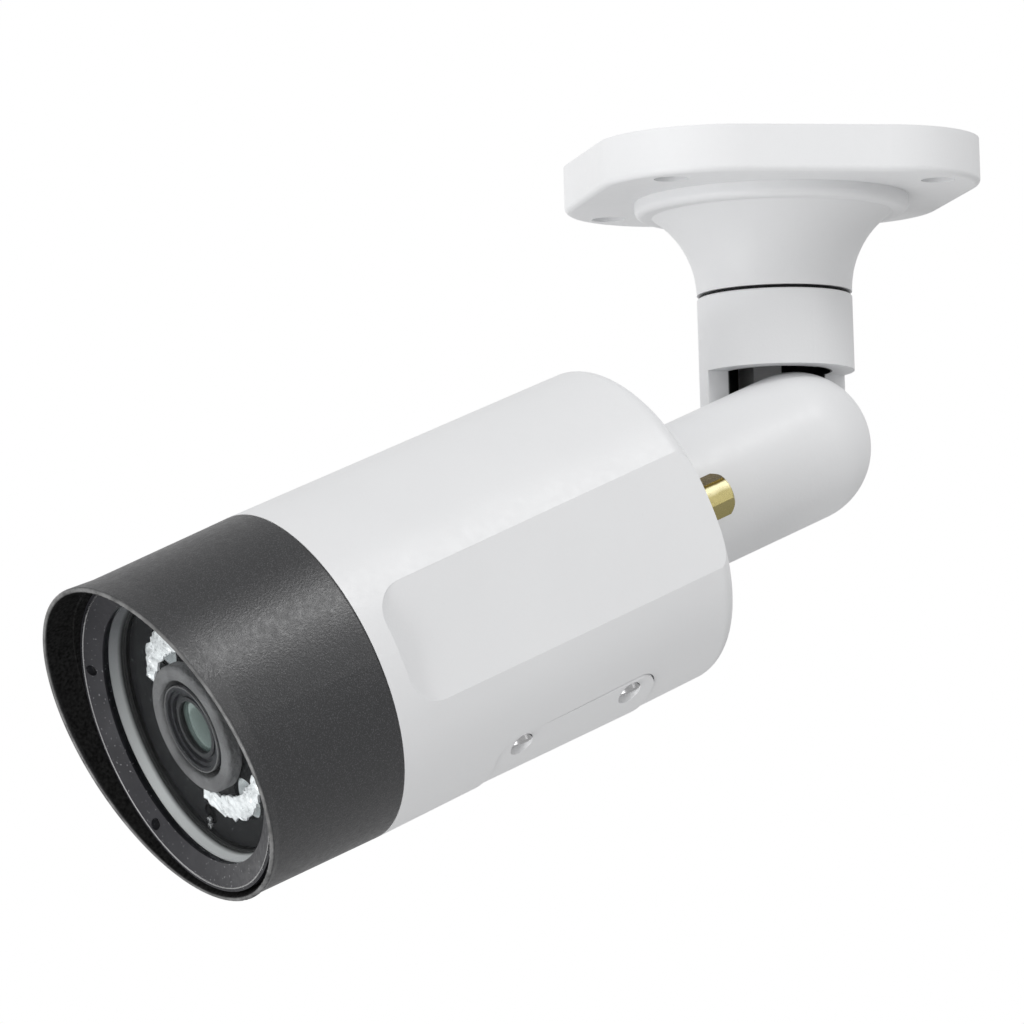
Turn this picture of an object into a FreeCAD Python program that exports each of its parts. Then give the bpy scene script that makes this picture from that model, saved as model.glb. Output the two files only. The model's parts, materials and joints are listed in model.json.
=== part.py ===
"""Bullet security camera on a three-axis ceiling bracket. Millimetres, +Z up.

Origin: centre of the plate's ceiling face. The bracket hangs below it. The camera's own pieces are
drawn level, facing -Y, with the tilt pivot at the origin, and are then tilted, panned and dropped
to the pivot height by posed(). Distances along the camera axis are called s and grow to the front.
"""
import FreeCAD
import Part
import math
import os

os.makedirs("parts", exist_ok=True)
V = FreeCAD.Vector
X = V(1, 0, 0)
Y = V(0, 1, 0)
Z = V(0, 0, 1)
FRONT = V(0, -1, 0)
UP = V(0, 0, 1)

# ---- pose at rest ----
PAN = 14.6
TILT = 23.4
PIVOT_Z = -61.9

# ---- general clearances ----
GAP = 0.3
RUN_FIT = 0.06

# ---- ceiling plate and neck ----
PLATE_SIDE = 79.2
PLATE_CORNER = 24.2
PLATE_T = 9.6
PLATE_EDGE = 1.3
HOLE_PITCH = 56.0
HOLE_R = 2.5
HEAD_R = 3.5
HEAD_DEPTH = 3.2
PEDESTAL_R = 28.3
PEDESTAL_H = 3.2
COLLAR_R = 16.0
FLARE_R = 19.7
NECK_END_Z = -29.2
POCKET_R = 24.5
POCKET_D = 7.5
NUT_ROOM_R = 13.0
NUT_ROOM_Z = -16.0
GASKET_IN = 26.3
GASKET_OUT = 28.6
GASKET_T = 1.4

# ---- pan stem and its hardware ----
STEM_R = 8.0
STEM_BORE = 5.0
STEM_TOP_Z = -9.4
NUT_AF = 20.0
NUT_T = 4.6
WASHER_T = 0.5
LOCK_R = 1.5
LOCK_Z = -23.5

# ---- collar and lug ----
COLLAR_TOP_Z = -29.85
RIM_Z = -45.5
LUG_WALL_IN = 11.0
CAVITY_TOP_Z = -34.0
LAP = 0.15
DISC_T = 0.4
WEB_T = 4.5
WEB_R = 12.2
BOSS_R = 8.0
BOSS_BACK = 9.0
HEAD_WELL_R = 6.0
RIB_W = 6.5
RIB_FRONT = 4.0
KIDNEY_IN = 8.3
KIDNEY_OUT = 11.3
KIDNEY_HALF = 38.0

# ---- arm ----
ARM_R = 15.6
ARM_OFF = 6.5
ARM_END_S = 39.7
ARM_WALL = 3.2
ARM_FLAT_WALL = 3.4
ARM_SOCKET_S = 31.5
STEP_S = 16.5
PIVOT_R = 3.0
PIVOT_THREAD_R = 2.5

# ---- roll spindle ----
SPINDLE_R = 9.0
SPINDLE_BORE = 6.0
SPINDLE_START = 32.5
SPINDLE_END = 51.0
ROLL_NUT_AF = 22.0
ROLL_NUT_T = 4.4

# ---- housing ----
REAR_S = 40.0
SEAM_S = 123.8
SEAM_GAP = 0.1
SEAM_R = 35.0
DRAFT = 0.016
REAR_ROUND = 3.6
REAR_WALL = 4.5
BORE_R = 30.0
FACET_S = 119.0
FACET_X = 32.5
FACET_HALF = 12.6
FACET_CORNER = 7.0

# ---- access door ----
DOOR_S0 = 60.5
DOOR_S1 = 99.5
DOOR_HALF = 21.5
DOOR_CORNER = 4.0
DOOR_INNER_Z = -25.4
LEDGE_Z = -25.0
LEDGE_T = 3.2
OPEN_HALF = 13.6
OPEN_MARGIN = 3.6
DOOR_SCREW_X = 18.6
DOOR_SCREW_S = (66.9, 93.6)
DOOR_HEAD_R = 2.5
DOOR_HEAD_T = 1.6
DOOR_SEAT_Z = -26.9

# ---- hood ----
HOOD_FRONT_R = 34.8
HOOD_WALL = 1.6
HOOD_BORE = 30.4
RIM_S = 158.85
RIM_LEAD = 4.34
LIP_T = 6.0
LIP_FLARE = 1.2
SPIGOT_S = 112.0
SPIGOT_R = 29.85
SPIGOT_BORE = 28.3
BEZEL_S = 153.2
BEZEL_T = 2.9
BEZEL_FRONT = 154.3
BEZEL_MOUTH_R = 32.3
BEZEL_IN = 27.9
BEZEL_SCREW_R = 30.6
GLASS_R = 28.3
GLASS_S = 150.9
GLASS_T = 1.2
RING_SEAT_S = 147.6
SHELF_S = 146.3
SHELF_R = 26.9

# ---- optics ----
MODULE_TURN = 14.7
LED_RADIUS = 17.3
LED_R = 4.4
LED_BOARD_S = 142.0
BOARD_T = 1.2
MASK_S = 146.2
MASK_T = 0.8
FOAM_IN = 10.3
FOAM_OUT = 13.5
FOAM_NECK = 12.6
LENS_TIP_S = 150.3
BARREL_R = 9.3
TAIL_S = 131.3
SENSOR_BOARD_S = 124.4
BULKHEAD_S = 118.4
BULKHEAD_T = 1.8
MAIN_Z = -13.0
MAIN_T = 1.6

# ---- antenna socket ----
SOCKET_X = 20.9
SOCKET_AF = 8.0
SOCKET_END_S = 31.0
SOCKET_BORE = 2.4


def posed(shape):
    """Bring a level piece to its rest pose."""
    out = shape.copy()
    out.rotate(V(0, 0, 0), X, TILT)
    out.rotate(V(0, 0, 0), Z, PAN)
    out.translate(V(0, 0, PIVOT_Z))
    return out


def panned(shape):
    """Turn a piece of the collar to the rest pan angle."""
    out = shape.copy()
    out.rotate(V(0, 0, 0), Z, PAN)
    return out


def save(name, shape):
    """Write one node, cleaned and checked."""
    clean = shape.removeSplitter()
    if not clean.isValid():
        clean = shape
    print(name, len(clean.Solids), round(clean.Volume, 1), clean.isValid())
    clean.exportStep("parts/" + name + ".step")


def at(s, x=0.0, z=0.0):
    """A point of the level camera: s along the axis, x and z from the axis."""
    return V(ARM_OFF + x, -s, z)


def disc(s0, s1, r, x=0.0, z=0.0):
    """A cylinder along the camera axis."""
    return Part.makeCylinder(r, s1 - s0, at(s0, x, z), FRONT)


def ring(s0, s1, r_out, r_in, x=0.0, z=0.0):
    """A plain ring along the camera axis."""
    return disc(s0, s1, r_out, x, z).cut(disc(s0 - 1, s1 + 1, r_in, x, z))


def block(s0, s1, x0, x1, z0, z1):
    """A box in the level camera's directions."""
    return Part.makeBox(x1 - x0, s1 - s0, z1 - z0, V(ARM_OFF + x0, -s1, z0))


def turned(points):
    """Revolve a closed outline of (s, r) points about the camera axis."""
    corners = [at(s, r) for s, r in points]
    face = Part.Face(Part.makePolygon(corners + corners[:1]))
    return face.revolve(at(0), FRONT, 360)


def tube_z(r_out, r_in, z0, z1):
    """A ring about the Z axis."""
    outer = Part.makeCylinder(r_out, z1 - z0, V(0, 0, z0))
    return outer.cut(Part.makeCylinder(r_in, z1 - z0 + 2, V(0, 0, z0 - 1)))


def along_x(r, x0, x1, y=0.0, z=0.0):
    """A cylinder along X."""
    return Part.makeCylinder(r, x1 - x0, V(x0, y, z), X)


def hexagon(af, start, direction, length, turn=0.0):
    """A hexagonal prism, af across its flats."""
    r = af / math.sqrt(3)
    side = Z if abs(direction.z) < 0.5 else X
    other = direction.cross(side)
    corners = []
    for k in range(6):
        angle = math.radians(60 * k + turn)
        corners.append(start + side * (r * math.cos(angle)) + other * (r * math.sin(angle)))
    face = Part.Face(Part.makePolygon(corners + corners[:1]))
    return face.extrude(direction * length)


def rounded_plate(x0, x1, y0, y1, corner, z0, z1):
    """A flat plate with round corners, from z0 up to z1."""
    box = Part.makeBox(x1 - x0, y1 - y0, z1 - z0, V(x0, y0, z0))
    upright = [e for e in box.Edges if abs(e.tangentAt(e.FirstParameter).z) > 0.9]
    return box.makeFillet(corner, upright)


def edges_near(shape, test):
    """The edges whose every sampled point passes the test."""
    found = []
    for edge in shape.Edges:
        if edge.Degenerated or edge.Length < 1e-4:
            continue
        points = edge.discretize(7)
        if all(test(p) for p in points):
            found.append(edge)
    return found


def softened(shape, radius, test):
    """Round the edges that pass the test, or return the shape as it was."""
    edges = edges_near(shape, test)
    if not edges:
        return shape
    try:
        out = shape.makeFillet(radius, edges)
    except Exception:
        return shape
    return out if out.isValid() and out.Volume > 0 else shape


def cross_head(origin, direction, head_r, head_t, shank_r, length):
    """A pan-head screw with a cross recess; direction points from the head into the material."""
    head = Part.makeCylinder(head_r, head_t, origin, direction)
    rim = edges_near(head, lambda p: abs((p - origin).dot(direction)) < 0.01)
    head = head.makeFillet(head_t * 0.35, rim)
    shank = Part.makeCylinder(shank_r, length, origin + direction * (head_t - 0.01), direction)
    screw = head.fuse(shank)
    side = X if abs(direction.x) < 0.8 else Z
    across = direction.cross(side)
    across.normalize()
    along = across.cross(direction)
    arm = head_r * 1.15
    slot = head_r * 0.26
    for first, second in ((along, across), (across, along)):
        corner = origin - first * (arm / 2) - second * (slot / 2) - direction * 0.5
        face = Part.Face(Part.makePolygon([
            corner,
            corner + first * arm,
            corner + first * arm + second * slot,
            corner + second * slot,
            corner,
        ]))
        screw = screw.cut(face.extrude(direction * (0.5 + head_t * 0.6)))
    return screw


def grub(start, direction, r, length):
    """A headless screw with a hexagon socket at its start."""
    body = Part.makeCylinder(r, length, start, direction)
    return body.cut(hexagon(r * 1.1, start - direction * 0.2, direction, length * 0.45))


def kidney(x0, x1):
    """The curved cable slot above the tilt pivot."""
    room = along_x(KIDNEY_OUT, x0, x1).cut(along_x(KIDNEY_IN, x0 - 1, x1 + 1))
    reach = 30.0
    half = math.radians(KIDNEY_HALF)
    corners = [
        V(x0 - 1, 0, 0),
        V(x0 - 1, -reach * math.sin(half), reach * math.cos(half)),
        V(x0 - 1, reach * math.sin(half), reach * math.cos(half)),
        V(x0 - 1, 0, 0),
    ]
    wedge = Part.Face(Part.makePolygon(corners)).extrude(V(x1 - x0 + 2, 0, 0))
    return room.common(wedge)


# ------------------------------------------------------------------ ceiling plate and pan bearing

def flare_outline():
    """Neck outline: a concave arc from the pedestal down to the seam."""
    centre_r = COLLAR_R + FLARE_R
    top_z = -PLATE_T - PEDESTAL_H
    rise = top_z - NECK_END_Z
    top = V(centre_r - math.sqrt(FLARE_R ** 2 - rise ** 2), 0, top_z)
    end = V(COLLAR_R, 0, NECK_END_Z)
    half = math.asin(rise / FLARE_R) / 2
    middle = V(centre_r - FLARE_R * math.cos(half), 0, NECK_END_Z + FLARE_R * math.sin(half))
    arc = Part.Arc(top, middle, end).toShape()
    low = V(0, 0, NECK_END_Z)
    high = V(0, 0, top_z)
    lines = [Part.makeLine(end, low), Part.makeLine(low, high), Part.makeLine(high, top)]
    return Part.Face(Part.Wire([arc] + lines)).revolve(V(0, 0, 0), Z, 360)


def base_plate():
    """Plate, pedestal and flared neck, one casting."""
    half = PLATE_SIDE / 2
    plate = rounded_plate(-half, half, -half, half, PLATE_CORNER, -PLATE_T, 0)
    plate = softened(plate, PLATE_EDGE, lambda p: abs(p.z + PLATE_T) < 0.01)
    pedestal = Part.makeCylinder(PEDESTAL_R, PEDESTAL_H + 1, V(0, 0, -PLATE_T - PEDESTAL_H))
    low_z = -PLATE_T - PEDESTAL_H
    pedestal = softened(pedestal, 1.6, lambda p: abs(p.z - low_z) < 0.01)
    body = plate.fuse(pedestal).fuse(flare_outline())
    pocket = Part.makeCylinder(POCKET_R, POCKET_D, V(0, 0, -POCKET_D))
    room = Part.makeCylinder(NUT_ROOM_R, -NUT_ROOM_Z, V(0, 0, NUT_ROOM_Z))
    bore = Part.makeCylinder(STEM_R + RUN_FIT, 40, V(0, 0, NECK_END_Z - 5))
    groove = tube_z(GASKET_OUT + 0.1, GASKET_IN - 0.1, -GASKET_T, 1)
    body = body.cut(pocket).cut(room).cut(bore).cut(groove)
    for sx in (-1, 1):
        for sy in (-1, 1):
            spot = V(sx * HOLE_PITCH / 2, sy * HOLE_PITCH / 2, -PLATE_T - 1)
            body = body.cut(Part.makeCylinder(HOLE_R, PLATE_T + 2, spot))
            body = body.cut(Part.makeCylinder(HEAD_R, HEAD_DEPTH + 1, spot))
    lock = Part.makeCylinder(LOCK_R + 0.02, 30, V(-30, 0, LOCK_Z), X)
    return body.cut(lock)


def wall_gasket():
    """Foam ring let into the ceiling face."""
    return tube_z(GASKET_OUT, GASKET_IN, -GASKET_T, 0)


def pan_lock_screw():
    """Grub screw on the neck's far side, just clear of the stem."""
    start = -COLLAR_R - 0.4
    return grub(V(start, 0, LOCK_Z), X, LOCK_R, -start - STEM_R - 0.35)


def pan_washer():
    """Spring washer on the stem."""
    return tube_z(STEM_R + 3.2, STEM_R + 0.2, NUT_ROOM_Z + GAP, NUT_ROOM_Z + GAP + WASHER_T)


def pan_nut():
    """Hexagon nut on the stem."""
    z0 = NUT_ROOM_Z + GAP + WASHER_T
    nut = hexagon(NUT_AF, V(0, 0, z0), UP, NUT_T)
    cap = Part.makeCone(NUT_AF * 0.5 + NUT_T + 1.2, NUT_AF * 0.5 + 0.8, NUT_T + 0.4, V(0, 0, z0))
    nut = nut.common(cap)
    return nut.cut(Part.makeCylinder(STEM_R, NUT_T + 2, V(0, 0, z0 - 1)))


def pan_seam_ring():
    """Dark slip ring in the seam."""
    return tube_z(COLLAR_R - 0.5, STEM_R + 0.3, COLLAR_TOP_Z, NECK_END_Z - GAP)


# ------------------------------------------------------------------ collar and lug

def lug_outline(radius, x0, x1):
    """A slab with a round lower end about the tilt pivot, level frame."""
    straight = Part.makeBox(x1 - x0, 2 * radius, 40, V(x0, -radius, 0))
    return straight.fuse(along_x(radius, x0, x1))


def swivel_collar():
    """Collar, stem, half-round lug, rib, web and pivot boss, one casting."""
    drum = Part.makeCylinder(COLLAR_R, COLLAR_TOP_Z - RIM_Z, V(0, 0, RIM_Z))
    low = PIVOT_Z - COLLAR_R
    half = Part.makeCylinder(COLLAR_R, COLLAR_TOP_Z - low, V(0, 0, low))
    half = half.common(Part.makeBox(40, 40, 80, V(-40 - LAP, -20, low)))
    end = lug_outline(COLLAR_R, -40, 0)
    end.translate(V(0, 0, PIVOT_Z))
    half = half.common(end)
    cavity = Part.makeCylinder(LUG_WALL_IN, CAVITY_TOP_Z - low, V(0, 0, low))
    inner_end = lug_outline(LUG_WALL_IN, -40, 40)
    inner_end.translate(V(0, 0, PIVOT_Z))
    cavity = cavity.common(inner_end)
    body = drum.fuse(half)
    body = softened(body, 0.6, lambda p: abs(p.z - COLLAR_TOP_Z) < 0.01)
    body = body.cut(cavity)
    shell = half.common(Part.makeBox(40, 40, 80, V(-40, -20, low)))
    rib = Part.makeBox(LUG_WALL_IN - RIB_FRONT + 2, RIB_W, CAVITY_TOP_Z - PIVOT_Z,
                       V(-LUG_WALL_IN - 2, -RIB_W / 2, PIVOT_Z))
    web_face = -LAP - DISC_T
    web = along_x(WEB_R, web_face - WEB_T, web_face, 0, PIVOT_Z)
    boss = along_x(BOSS_R, -COLLAR_R, web_face, 0, PIVOT_Z)
    body = body.fuse(rib).fuse(web).fuse(boss.common(shell.fuse(cavity)))
    seat = along_x(WEB_R, web_face, 1, 0, PIVOT_Z).common(Part.makeBox(2, 60, 60, V(web_face, -30, PIVOT_Z - 30)))
    body = body.cut(seat)
    body = body.cut(along_x(PIVOT_R + RUN_FIT, -30, 5, 0, PIVOT_Z))
    body = body.cut(along_x(HEAD_WELL_R, -30, -BOSS_BACK, 0, PIVOT_Z))
    slot = kidney(web_face - WEB_T - 1, web_face + 1)
    slot.translate(V(0, 0, PIVOT_Z))
    body = body.cut(slot)
    stem = tube_z(STEM_R, STEM_BORE, COLLAR_TOP_Z - 1, STEM_TOP_Z)
    body = body.fuse(stem)
    return body.cut(Part.makeCylinder(STEM_BORE, 30, V(0, 0, CAVITY_TOP_Z - 1)))


def tilt_disc():
    """Friction disc on the lug's lap face."""
    face = -LAP - DISC_T
    out = along_x(WEB_R - 0.1, face, -LAP).cut(along_x(PIVOT_R + 0.3, face - 1, 1))
    out = out.cut(kidney(face - 1, 1))
    out.translate(V(0, 0, PIVOT_Z))
    return out


def pivot_cap():
    """Cover over the bolt's well, flush with the lug's back."""
    plug = along_x(HEAD_WELL_R - 0.05, -COLLAR_R, -COLLAR_R + 1.5, 0, PIVOT_Z)
    return plug.common(Part.makeCylinder(COLLAR_R - 0.05, 60, V(0, 0, PIVOT_Z - 30)))


# ------------------------------------------------------------------ arm

def arm_shell():
    """Knuckle: round end, flat lap face, hollow, with a socket for the spindle."""
    body = disc(0, ARM_END_S, ARM_R).fuse(Part.makeSphere(ARM_R, at(0)))
    lap = Part.makeBox(60, 60 + STEP_S, 80, V(LAP - 60, -STEP_S, -40))
    body = body.cut(lap)
    inner = ARM_R - ARM_WALL
    hollow = disc(0, ARM_SOCKET_S, inner).fuse(Part.makeSphere(inner, at(0)))
    keep = Part.makeBox(60, 90, 80, V(LAP + ARM_FLAT_WALL, -60, -40))
    front_room = disc(STEP_S + ARM_WALL, ARM_SOCKET_S, inner)
    hollow = hollow.common(keep).fuse(front_room)
    body = body.cut(hollow)
    boss = along_x(BOSS_R - 2, LAP, 13)
    body = body.fuse(boss.common(disc(-20, 30, ARM_R - 1)))
    body = body.cut(along_x(PIVOT_THREAD_R, -5, 11.5))
    body = body.cut(kidney(-5, LAP + ARM_FLAT_WALL + 0.5))
    body = body.cut(disc(ARM_SOCKET_S - 1, ARM_END_S + 1, SPINDLE_R))
    return softened(body, 0.5, lambda p: abs(p.y + ARM_END_S) < 0.01)


def tilt_bolt():
    """Shoulder bolt: socket head in the lug's well, thread in the arm's boss."""
    under = -BOSS_BACK - GAP - WASHER_T
    head = along_x(5.0, under - 4.0, under)
    head = softened(head, 0.5, lambda p: p.x < under - 3.99)
    shank = along_x(PIVOT_R, under - 0.5, LAP)
    thread = along_x(PIVOT_THREAD_R - 0.03, LAP - 0.5, 10.5)
    bolt = head.fuse(shank).fuse(thread)
    return bolt.cut(hexagon(4.0, V(under - 5, 0, 0), X, 3.2))


def tilt_washer():
    """Flat washer under the bolt's head."""
    under = -BOSS_BACK - GAP - WASHER_T
    return along_x(5.6, under, under + WASHER_T).cut(along_x(PIVOT_R + 0.1, under - 1, under + 2))


def roll_spindle():
    """Hollow spindle, fixed in the arm and turning in the rear wall."""
    return ring(SPINDLE_START, SPINDLE_END, SPINDLE_R - 0.01, SPINDLE_BORE)


def roll_washer():
    """Spring washer inside the rear wall."""
    s0 = REAR_S + REAR_WALL + GAP
    return ring(s0, s0 + WASHER_T, SPINDLE_R + 3.5, SPINDLE_R + 0.2)


def roll_nut():
    """Nut that holds the housing on the spindle."""
    s0 = REAR_S + REAR_WALL + GAP + WASHER_T
    nut = hexagon(ROLL_NUT_AF, at(s0), FRONT, ROLL_NUT_T)
    return nut.cut(disc(s0 - 1, s0 + ROLL_NUT_T + 1, SPINDLE_R))


# ------------------------------------------------------------------ housing

def wall_r(s):
    """Outer radius of the housing at s."""
    return SEAM_R - (SEAM_S - s) * DRAFT


def housing_skin():
    """Solid of the housing's outer form, with the round rear edge."""
    end = SEAM_S - SEAM_GAP
    solid = turned([(REAR_S, 0), (end, 0), (end, wall_r(end)), (REAR_S, wall_r(REAR_S))])
    return softened(solid, REAR_ROUND, lambda p: abs(p.y + REAR_S) < 0.01)


def facet_tool(side):
    """Cutter for one flat side; its front corners are round."""
    depth = 12.0
    box = rounded_plate(-FACET_HALF, FACET_HALF, 0, 140, FACET_CORNER, 0, depth)
    box.rotate(V(0, 0, 0), Y, 90)
    tool = box.copy()
    tool.translate(V(FACET_X, -FACET_S, 0))
    front = V(FACET_X, -FACET_S, 0)
    tool.rotate(front, Z, math.degrees(math.atan(DRAFT)))
    if side < 0:
        tool = tool.mirror(V(0, 0, 0), X)
    tool.translate(V(ARM_OFF, 0, 0))
    return tool


def door_plan(grow, z0, z1):
    """Prism over the door's outline."""
    x0 = ARM_OFF - DOOR_HALF - grow
    x1 = ARM_OFF + DOOR_HALF + grow
    return rounded_plate(x0, x1, -DOOR_S1 - grow, -DOOR_S0 + grow, DOOR_CORNER + grow, z0, z1)


def open_plan(grow, z0, z1):
    """Prism over the opening that the door covers."""
    x0 = ARM_OFF - OPEN_HALF - grow
    x1 = ARM_OFF + OPEN_HALF + grow
    y0 = -DOOR_S1 + OPEN_MARGIN - grow
    y1 = -DOOR_S0 - OPEN_MARGIN + grow
    return rounded_plate(x0, x1, y0, y1, 3.0 + grow, z0, z1)


def screw_spots():
    """Centres of the four door screws as (x, s)."""
    return [(side * DOOR_SCREW_X, s) for side in (-1, 1) for s in DOOR_SCREW_S]


def rear_housing():
    """Round housing with two facets, rear wall, door ledge and screw bosses."""
    skin = housing_skin()
    for side in (-1, 1):
        skin = skin.cut(facet_tool(side))
    bore = disc(REAR_S + REAR_WALL, SEAM_S + 5, BORE_R)
    bore = softened(bore, 3.0, lambda p: abs(p.y + REAR_S + REAR_WALL) < 0.01)
    body = skin.cut(bore)
    pad = block(DOOR_S0 - 2.5, DOOR_S1 + 2.5, -26, 26, -30, LEDGE_Z + LEDGE_T)
    body = body.fuse(pad.common(disc(REAR_S + 2, SEAM_S, BORE_R + 0.5)))
    for x, s in screw_spots():
        boss = Part.makeCylinder(2.8, 6.0, at(s, x, LEDGE_Z))
        body = body.fuse(boss)
    body = body.cut(door_plan(0.2, -60, LEDGE_Z))
    body = body.cut(open_plan(0, -60, 0).cut(block(0, 200, -60, 60, LEDGE_Z + LEDGE_T + 0.1, 10)))
    for x, s in screw_spots():
        body = body.cut(Part.makeCylinder(1.25, 8.0, at(s, x, LEDGE_Z - 3)))
        body = body.cut(Part.makeCylinder(DOOR_HEAD_R + 0.4, 20, at(s, x, LEDGE_Z - 20)))
    body = body.cut(disc(REAR_S - 1, REAR_S + REAR_WALL + 2, SPINDLE_R + RUN_FIT))
    body = body.cut(ring(REAR_S - 1, REAR_S + 1.6, 12.6, 10.4))
    body = body.cut(disc(REAR_S - 1, REAR_S + REAR_WALL + 2, 3.1, SOCKET_X))
    return body


def roll_seal():
    """Soft ring in the rear wall's groove."""
    return ring(REAR_S + 0.05, REAR_S + 1.55, 12.5, 10.5)


def access_door():
    """Door on the underside, curved with the housing."""
    body = door_plan(-0.1, -40, DOOR_INNER_Z)
    body = body.common(disc(DOOR_S0 - 5, DOOR_S1 + 5, wall_r(80)))
    scoop = open_plan(-0.6, -60, 0).common(disc(DOOR_S0 - 5, DOOR_S1 + 5, wall_r(80) - 2.4))
    body = body.cut(scoop)
    for x, s in screw_spots():
        body = body.cut(Part.makeCylinder(1.4, 20, at(s, x, -40)))
        body = body.cut(Part.makeCylinder(DOOR_HEAD_R + 0.15, 20, at(s, x, DOOR_SEAT_Z - 20)))
    return body


def door_screws():
    """Four cross-head screws of the door."""
    shank = 4.8
    made = [cross_head(at(s, x, DOOR_SEAT_Z - DOOR_HEAD_T), UP, DOOR_HEAD_R, DOOR_HEAD_T, 1.17, shank)
            for x, s in screw_spots()]
    return Part.makeCompound(made)


def door_gasket():
    """Flat gasket inside the screws."""
    frame = open_plan(2.2, DOOR_INNER_Z, LEDGE_Z - 0.05)
    return frame.cut(open_plan(0.4, DOOR_INNER_Z - 1, LEDGE_Z + 1))


def antenna_socket():
    """Hexagonal brass socket on the rear wall, with a threaded hole and a stub inside."""
    hexa = hexagon(SOCKET_AF, at(SOCKET_END_S, SOCKET_X), FRONT, REAR_S - 0.6 - SOCKET_END_S, 12)
    ends = Part.makeCone(SOCKET_AF / 2, SOCKET_AF / 2 + 10, 10, at(SOCKET_END_S, SOCKET_X), FRONT)
    hexa = hexa.common(ends)
    stub = disc(REAR_S - 1, REAR_S + REAR_WALL + 5, 3.0, SOCKET_X)
    body = hexa.fuse(stub)
    return body.cut(disc(SOCKET_END_S - 1, SOCKET_END_S + 7, SOCKET_BORE, SOCKET_X))


def antenna_washer():
    """Washer between the socket and the wall."""
    return ring(REAR_S - 0.6, REAR_S, 4.9, 3.05, SOCKET_X)


def antenna_nut():
    """Thin nut inside the wall."""
    s0 = REAR_S + REAR_WALL
    nut = hexagon(8.0, at(s0, SOCKET_X), FRONT, 2.0)
    return nut.cut(disc(s0 - 1, s0 + 4, 3.0, SOCKET_X))


# ------------------------------------------------------------------ hood and window

def front_hood():
    """Hood with a spigot into the housing, a window shelf and a slanting rim."""
    start = SEAM_S + SEAM_GAP
    front = RIM_S + RIM_LEAD + 3
    outer = turned([(start, 0), (front, 0), (front, HOOD_FRONT_R), (start, SEAM_R)])
    outer = outer.fuse(disc(SPIGOT_S, start + 1, SPIGOT_R))
    outer = outer.fuse(rim_cone(HOOD_FRONT_R - 0.4))
    body = outer.cut(disc(SPIGOT_S - 1, start + 3, SPIGOT_BORE))
    body = body.cut(disc(start + 3, SHELF_S, HOOD_BORE))
    body = body.cut(disc(SHELF_S - 1, BEZEL_S, SHELF_R))
    body = body.cut(disc(RING_SEAT_S, front + 1, GLASS_R + 0.15))
    body = body.cut(disc(BEZEL_S - BEZEL_T, front + 1, HOOD_FRONT_R - HOOD_WALL))
    body = body.cut(rim_cone(HOOD_FRONT_R - HOOD_WALL))
    body = body.cut(ring(start - 1.9, start - 0.3, SPIGOT_R + 1, SPIGOT_R - 1.1))
    slant = math.degrees(math.atan(RIM_LEAD / HOOD_FRONT_R))
    waste = Part.makeBox(120, 60, 120, V(ARM_OFF - 60, -RIM_S - 60, -60))
    waste.rotate(V(0, -RIM_S, 0), X, slant)
    body = body.cut(waste)
    for x, z in bezel_spots():
        body = body.cut(disc(GLASS_S - 4, BEZEL_S, 0.75, x, z))
    return softened(body, 0.45, lambda p: abs(rim_distance(p)) < 0.01)


def rim_cone(radius):
    """Cone that flares towards the slanting rim and stands square to it."""
    grow = LIP_FLARE * (LIP_T + 2) / LIP_T
    behind = RIM_S - LIP_T
    cone = turned([(behind, 0), (behind, radius), (RIM_S + 2, radius + grow), (RIM_S + 2, 0)])
    cone.rotate(V(0, -RIM_S, 0), X, math.degrees(math.atan(RIM_LEAD / HOOD_FRONT_R)))
    return cone


def rim_distance(p):
    """Distance of a point ahead of the rim plane, along s."""
    return -p.y - RIM_S - p.z * RIM_LEAD / HOOD_FRONT_R


def bezel_spots():
    """Centres of the bezel screws as (x, z)."""
    return [(BEZEL_SCREW_R * math.cos(math.radians(a)), BEZEL_SCREW_R * math.sin(math.radians(a)))
            for a in (33, 147, 213, 327)]


def bezel_ring():
    """Stepped clamp ring in front of the window."""
    outer = HOOD_FRONT_R - HOOD_WALL - 0.1
    s0 = BEZEL_S - BEZEL_T
    glass_front = GLASS_S + GLASS_T + 0.05
    body = turned([(s0, GLASS_R + 0.2), (s0, outer), (BEZEL_FRONT, outer), (BEZEL_FRONT, BEZEL_MOUTH_R),
                   (glass_front + 0.4, BEZEL_IN), (glass_front, BEZEL_IN), (glass_front, GLASS_R + 0.2)])
    for x, z in bezel_spots():
        body = body.cut(disc(s0 - 1, BEZEL_S + 1, 0.85, x, z))
        body = body.cut(disc(BEZEL_S - 1.6, BEZEL_S + 2, 1.2, x, z))
    return body


def bezel_screws():
    """Four small screws, sunk in the bezel ring."""
    made = [cross_head(at(BEZEL_S - 0.75, x, z), Y, 1.1, 0.85, 0.7, 4.6) for x, z in bezel_spots()]
    return Part.makeCompound(made)


def window_ring():
    """Bright conical ring that frames the window."""
    s0 = RING_SEAT_S + 0.65
    s1 = GLASS_S - 0.05
    return turned([(s0, 27.1), (s0, GLASS_R), (s1, GLASS_R), (s1, 28.05)])


def front_window():
    """Flat clear window."""
    return disc(GLASS_S, GLASS_S + GLASS_T, GLASS_R)


def window_gasket():
    """Gasket behind the bright ring."""
    return ring(RING_SEAT_S, RING_SEAT_S + 0.6, GLASS_R, SHELF_R)


def hood_seal():
    """Ring seal on the hood's spigot."""
    start = SEAM_S + SEAM_GAP
    return ring(start - 1.85, start - 0.35, BORE_R - 0.05, SPIGOT_R - 1.05)


# ------------------------------------------------------------------ optics and boards

def led_spots():
    """Centres of the two emitters as (x, z)."""
    turn = math.radians(MODULE_TURN)
    x = -LED_RADIUS * math.sin(turn)
    z = LED_RADIUS * math.cos(turn)
    return [(x, z), (-x, -z)]


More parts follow.
